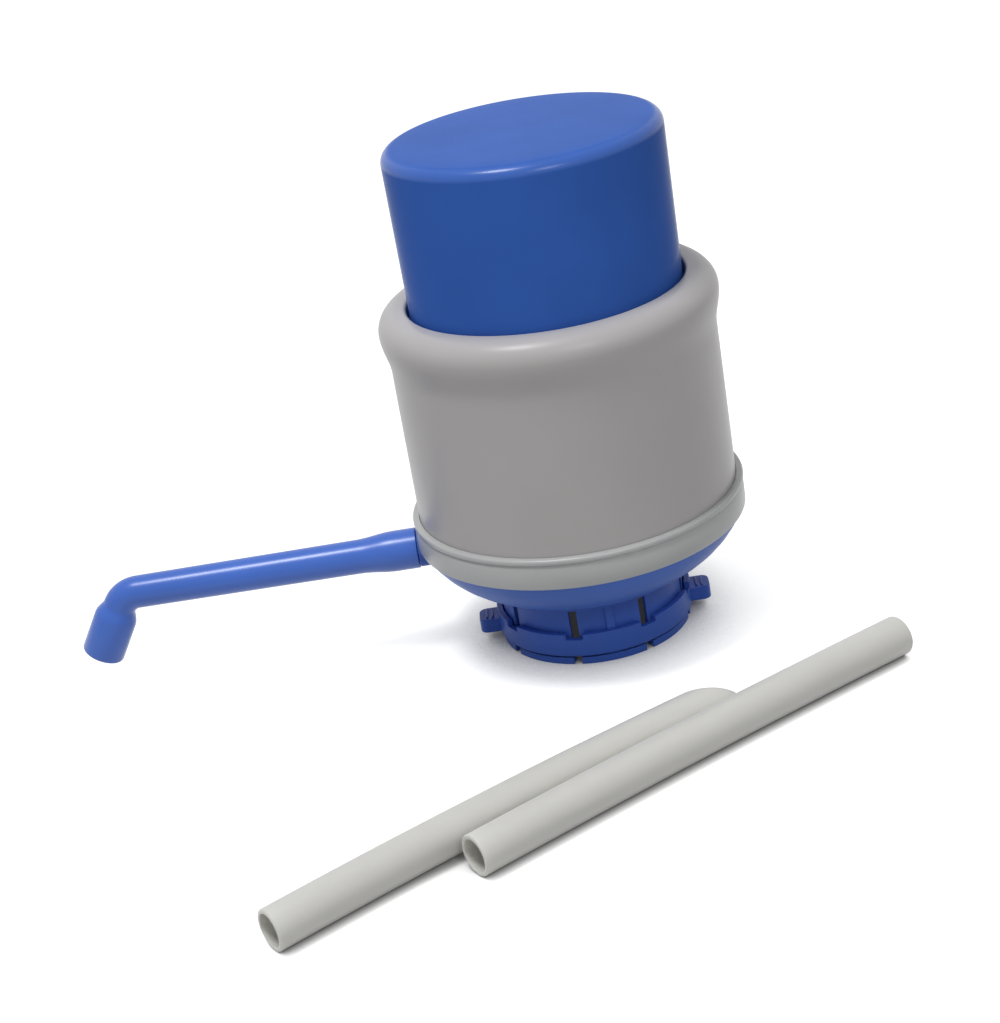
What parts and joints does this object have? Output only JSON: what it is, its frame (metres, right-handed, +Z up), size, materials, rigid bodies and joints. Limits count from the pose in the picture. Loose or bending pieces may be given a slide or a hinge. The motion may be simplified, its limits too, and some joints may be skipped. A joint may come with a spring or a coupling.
{
  "type": "water jug hand pump",
  "caption": "Hand pump that clamps on a water jug's neck, with a press cap over a sprung bellows, a swivelling side spout and two loose lengths of dip tube.",
  "frame": {"origin": "centre of the neck collar's foot, on the surface that the pump stands on and on the axis of the jug neck bore", "axes": "+Z up along the pump axis towards the press cap; the spout points along -X; the loose dip tubes lie on the -Y side"},
  "size_m": [0.2644, 0.2245, 0.168],
  "materials": {
    "cap_blue": "glossy moulded",
    "spout_blue": "glossy moulded",
    "base_blue": "satin moulded",
    "collar_blue": "satin moulded",
    "barrel_white": "satin moulded",
    "ring_grey": "satin moulded",
    "tube_white": "extruded, slightly milky",
    "inner_white": "moulded",
    "rubber_black": "matte",
    "silicone": "translucent",
    "spring_steel": "drawn wire",
    "screw_steel": "zinc plated"
  },
  "bodies": {
    "housing": {"barrel": "barrel_white", "barrel_screws": "screw_steel", "trim_ring": "ring_grey", "valve_deck": "inner_white", "deck_seal": "rubber_black", "outlet_valve": "silicone", "bellows_clamp_ring": "inner_white", "clamp_screws": "screw_steel", "base": "base_blue", "water_elbow": "inner_white", "elbow_seal": "rubber_black", "elbow_nut": "inner_white", "spout_socket": "base_blue", "neck_gasket": "rubber_black", "neck_collar": "collar_blue", "collar_screws": "screw_steel", "bellows": "rubber_black", "return_spring": "spring_steel"},
    "cap": {"press_cap": "cap_blue", "bellows_top_plate": "inner_white", "intake_valve": "silicone"},
    "locking_ring": {"lock_ring": "collar_blue"},
    "spout_arm": {"spout": "spout_blue", "spout_o_ring": "rubber_black"},
    "left_tube": {"dip_tube_left": "tube_white"},
    "right_tube": {"dip_tube_right": "tube_white"}
  },
  "joints": [
    {"name": "cap_press", "type": "slide", "parent": "housing", "child": "cap", "axis": [0, 0, -1], "range_m": [0, 0.036], "stiffness_N_per_m": 1400, "springref_m": -0.01, "deforming": ["bellows", "return_spring"]},
    {"name": "ring_lock", "type": "slide", "parent": "housing", "child": "locking_ring", "axis": [0, 0, 1], "range_m": [0, 0.008]},
    {"name": "spout_swivel", "type": "hinge", "parent": "housing", "child": "spout_arm", "pos_m": [-0.0485, 0, 0.036], "axis": [-1, 0, 0], "continuous": true},
    {"name": "left_tube_lift", "type": "slide", "parent": "housing", "child": "left_tube", "axis": [0, 0, 1], "range_m": [0, 0.08]},
    {"name": "right_tube_lift", "type": "slide", "parent": "housing", "child": "right_tube", "axis": [0, 0, 1], "range_m": [0, 0.08]}
  ]
}
